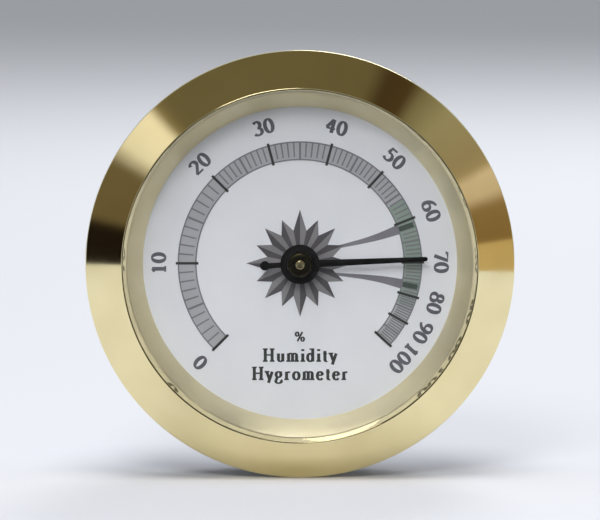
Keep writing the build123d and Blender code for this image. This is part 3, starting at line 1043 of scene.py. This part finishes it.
def calibration_marks():
    """A curved arrow round the calibration stem: turning the stem its way raises the reading."""
    arrow_r = 4.7
    reach = 42
    half_width = 0.16
    head_start = (arrow_r - 0.55, arrow_r + 0.55)
    head_end = (arrow_r - 0.15, arrow_r + 0.15)
    head_length = 11
    plus_angle = reach + 22
    minus_angle = -reach - 12
    half_bar = 0.5
    height = 0.04
    edge = 0.02
    shaft = arc_ribbon(arrow_r - half_width, arrow_r + half_width, -reach, reach)
    head = [
        tuple(flat(radius, reach) for radius in head_start),
        tuple(flat(radius, reach + head_length) for radius in head_end),
    ]
    level = Vector((half_bar, 0))
    upright = Vector((0, half_bar))
    marks = [
        shaft,
        head,
        bar_ribbon(flat(arrow_r, minus_angle), level),
        bar_ribbon(flat(arrow_r, plus_angle), level),
        bar_ribbon(flat(arrow_r, plus_angle), upright),
    ]
    raised("calibration_marks", marks, height, edge, print_white)


def bar_ribbon(centre, reach):
    """A straight bar that reaches equally far to both sides of a point."""
    half_width = 0.13
    across = Vector((reach.y, -reach.x)).normalized() * half_width
    return [(centre + end - across, centre + end + across) for end in (-reach, reach)]


ribbed_band()
cover_screws()
raised_ring("cover_ridge_inner", 10.0)
raised_ring("cover_ridge_outer", 15.0)
calibration_marks()

# ---- the rest of the CAD nodes ------------------------------------------------------------------

node_materials = {
    "dial_plate": dial_white,
    "case_body": case_black,
    "back_cover": cover_black,
    "lens_gasket": seal_rubber,
    "movement_screws": bright_steel,
    "bridge_screws": bright_steel,
    "friction_washer": bright_steel,
    "movement_plate": sheet_brass,
    "front_bush": turned_brass,
    "bridge_pillars": turned_brass,
    "rear_bridge": sheet_brass,
    "calibration_stem": turned_brass,
    "calibration_arm": sheet_brass,
    "coil_collet": turned_brass,
    "coil_rivet": turned_brass,
    "coil_metal_strip": strip_metal,
    "coil_humidity_layer": coil_paper,
}
for name, material in node_materials.items():
    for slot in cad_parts[name].material_slots:
        slot.material = material

# real edges are never knife-sharp: the width of each node's edge rounding
edge_widths = {
    "case_body": 0.15,
    "back_cover": 0.10,
    "calibration_stem": 0.10,
    "rear_bridge": 0.06,
    "movement_plate": 0.06,
    "bridge_pillars": 0.06,
    "calibration_arm": 0.06,
}
sharpest_smooth_edge = math.radians(38)
for name, width in edge_widths.items():
    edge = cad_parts[name].modifiers.new("edge_rounding", "BEVEL")
    edge.width = width * MM
    edge.segments = 2
    edge.limit_method = "ANGLE"
    edge.angle_limit = sharpest_smooth_edge
    edge.harden_normals = True

# ---- stage, light and camera --------------------------------------------------------------------

camera_elevation = math.radians(5.5)
to_camera = Vector((0, -math.cos(camera_elevation), math.sin(camera_elevation)))


def stage_floor():
    """A large pale floor that the bezel stands on."""
    half_width = 6
    material, tree, shader = new_material("pale_floor", (0.765, 0.775, 0.83), 0.6)
    shader.inputs["Specular IOR Level"].default_value = 0
    bm = bmesh.new()
    bmesh.ops.create_grid(bm, x_segments=1, y_segments=1, size=half_width)
    floor = object_from("floor", bm)
    floor.location.z = cad_low.z
    floor.data.materials.append(material)


def mirrored(angle):
    """Where the camera sees the room mirrored in the bezel's slope: the room's compass angle."""
    tilt = math.atan2(-rim_height - bezel_front, bezel_r - crest_r)
    normal = on_dial(math.sin(tilt), angle, -math.cos(tilt))
    seen = -to_camera.reflect(normal)
    return math.degrees(math.atan2(seen.x, seen.z))


# the room's light, by the compass angle at which it shows in the bezel
room_sectors = [
    (-89, (0.012, 0.008, 0.006)),
    (-78.5, (0.012, 0.008, 0.006)),
    (-76, (0.15, 0.12, 0.07)),
    (-61, (0.15, 0.12, 0.07)),
    (-55, (0.88, 0.86, 0.84)),
    (-45, (0.98, 0.94, 0.90)),
    (-42, (0.22, 0.18, 0.10)),
    (-39, (0.15, 0.13, 0.08)),
    (20, (0.14, 0.12, 0.07)),
    (25, (0.06, 0.04, 0.02)),
    (32, (0.07, 0.045, 0.02)),
    (36, (0.20, 0.18, 0.12)),
    (44, (0.32, 0.30, 0.22)),
    (58, (0.32, 0.27, 0.19)),
    (61, (0.36, 0.30, 0.20)),
    (63, (0.64, 0.54, 0.46)),
    (69, (0.60, 0.50, 0.42)),
    (72, (0.26, 0.18, 0.09)),
    (83, (0.23, 0.15, 0.06)),
    (85, (0.56, 0.43, 0.23)),
    (89, (0.56, 0.43, 0.23)),
]
light_behind = (0.50, 0.54, 0.58)
light_straight_ahead = (0.30, 0.28, 0.23)
backdrop = (0.62, 0.74, 0.82)


def world_light():
    """Surroundings: a dim room with brighter sectors in front of the dial, and plain light behind."""
    world = bpy.data.worlds.new("world")
    bpy.context.scene.world = world
    world.use_nodes = True
    tree = world.node_tree
    coordinates = node(tree, "ShaderNodeTexCoord")
    parts = node(tree, "ShaderNodeSeparateXYZ")
    tree.links.new(coordinates.outputs["Generated"], parts.inputs[0])
    depth = parts.outputs["Y"]
    angle = node(tree, "ShaderNodeMath", operation="ARCTAN2")
    tree.links.new(parts.outputs["X"], angle.inputs[0])
    tree.links.new(parts.outputs["Z"], angle.inputs[1])
    room = node(tree, "ShaderNodeValToRGB")
    turn = mapped(tree, angle.outputs[0], (-math.pi, math.pi), (0, 1))
    tree.links.new(turn, room.inputs[0])
    stops = room.color_ramp.elements
    while len(stops) < len(room_sectors):
        stops.new(0.5)
    for stop, (degrees, colour) in zip(stops, room_sectors):
        stop.position = (mirrored(degrees) + 180) / 360
        stop.color = (*colour, 1)
    in_front = mapped(tree, depth, (-0.2, 0), (1, 0))
    straight_ahead = mapped(tree, depth, (-0.60, -0.75), (0, 1))
    path = node(tree, "ShaderNodeLightPath")
    light = blended(tree, in_front, light_behind, room.outputs["Color"])
    light = blended(tree, straight_ahead, light, light_straight_ahead)
    light = blended(tree, path.outputs["Is Camera Ray"], light, backdrop)
    tree.links.new(light, tree.nodes["Background"].inputs["Color"])


def fading_sides(tree):
    """1 over most of a card's width, falling to 0 at its left and right sides."""
    fade_width = 0.12  # as a share of the card's width
    coordinates = node(tree, "ShaderNodeTexCoord")
    parts = node(tree, "ShaderNodeSeparateXYZ")
    from_side = node(tree, "ShaderNodeMath", operation="PINGPONG")
    from_side.inputs[1].default_value = 0.5
    tree.links.new(coordinates.outputs["Generated"], parts.inputs[0])
    tree.links.new(parts.outputs["X"], from_side.inputs[0])
    return mapped(tree, from_side.outputs[0], (0, fade_width), (0, 1))


def card(name, corners, colour, on_floor):
    """A card that is seen only mirrored in the dial's metal or, if it is on the floor, its glass too.

    A card on the floor fades out at its sides.
    """
    material = bpy.data.materials.new(name)
    material.use_nodes = True
    tree = material.node_tree
    glow = node(tree, "ShaderNodeEmission", Color=(*colour, 1))
    clear = node(tree, "ShaderNodeBsdfTransparent")
    mix = node(tree, "ShaderNodeMixShader")
    mix.inputs[0].default_value = 1
    if on_floor:
        tree.links.new(fading_sides(tree), mix.inputs[0])
    tree.links.new(clear.outputs[0], mix.inputs[1])
    tree.links.new(glow.outputs[0], mix.inputs[2])
    tree.links.new(mix.outputs[0], tree.nodes["Material Output"].inputs["Surface"])
    bm = bmesh.new()
    bm.faces.new([bm.verts.new(corner) for corner in corners])
    piece = object_from(name, bm)
    piece.data.materials.append(material)
    piece.visible_camera = False
    piece.visible_diffuse = False
    piece.visible_transmission = on_floor
    piece.visible_shadow = False


def side_card(name, x, y, colour):
    """A low card that stands on the floor, square to the X axis."""
    near = y - 0.06
    far = y + 0.06
    top = 0.006
    bottom = cad_low.z
    corners = [(x, near, bottom), (x, far, bottom), (x, far, top), (x, near, top)]
    card(name, corners, colour, on_floor=False)


def floor_card(name, near, near_half, far, far_half, colour):
    """A card that lies on the floor in front of the dial, where the lens mirrors it."""
    z = cad_low.z + 0.0002
    corners = [(-near_half, near, z), (near_half, near, z), (far_half, far, z), (-far_half, far, z)]
    card(name, corners, colour, on_floor=True)


def soft_light(name, place, target, size, power):
    """A round area light that faces a target."""
    lamp = bpy.data.lights.new(name, "AREA")
    lamp.shape = "DISK"
    lamp.size = size
    lamp.energy = power
    holder = bpy.data.objects.new(name, lamp)
    bpy.context.collection.objects.link(holder)
    holder.location = place
    holder.rotation_euler = (Vector(target) - Vector(place)).to_track_quat("-Z", "Y").to_euler()
    return holder


def front_camera():
    """A long lens, straight in front of the dial and a little above it."""
    distance = 0.72
    focal_length = 368  # millimetres
    centre = (cad_low + cad_high) / 2
    camera = bpy.data.cameras.new("camera")
    camera.lens = focal_length
    camera.clip_start = 0.01
    camera.clip_end = 50
    holder = bpy.data.objects.new("camera", camera)
    bpy.context.collection.objects.link(holder)
    holder.location = centre + to_camera * distance
    holder.rotation_euler = (-to_camera).to_track_quat("-Z", "Y").to_euler()
    bpy.context.scene.camera = holder


stage_floor()
world_light()
side_card("side_card_left", -0.276, -0.13, (0.012, 0.008, 0.006))
side_card("side_card_right", 0.205, -0.095, (0.56, 0.43, 0.23))
floor_card("floor_card_front", -0.04, 0.032, -0.80, 0.060, (0.04, 0.042, 0.045))
soft_light("key", (-0.12, -0.55, 0.42), (0, 0, 0), 0.25, 1.35)
soft_light("back", (0.12, 0.52, 0.42), (0, 0, 0), 0.30, 1.6)
top = soft_light("top", (0, -0.12, 0.55), (0, -0.12, 0), 0.30, 1.5)
top.visible_glossy = False  # so that its disc isn't mirrored in metal or glass
front_camera()
bpy.context.scene.view_settings.view_transform = "Standard"
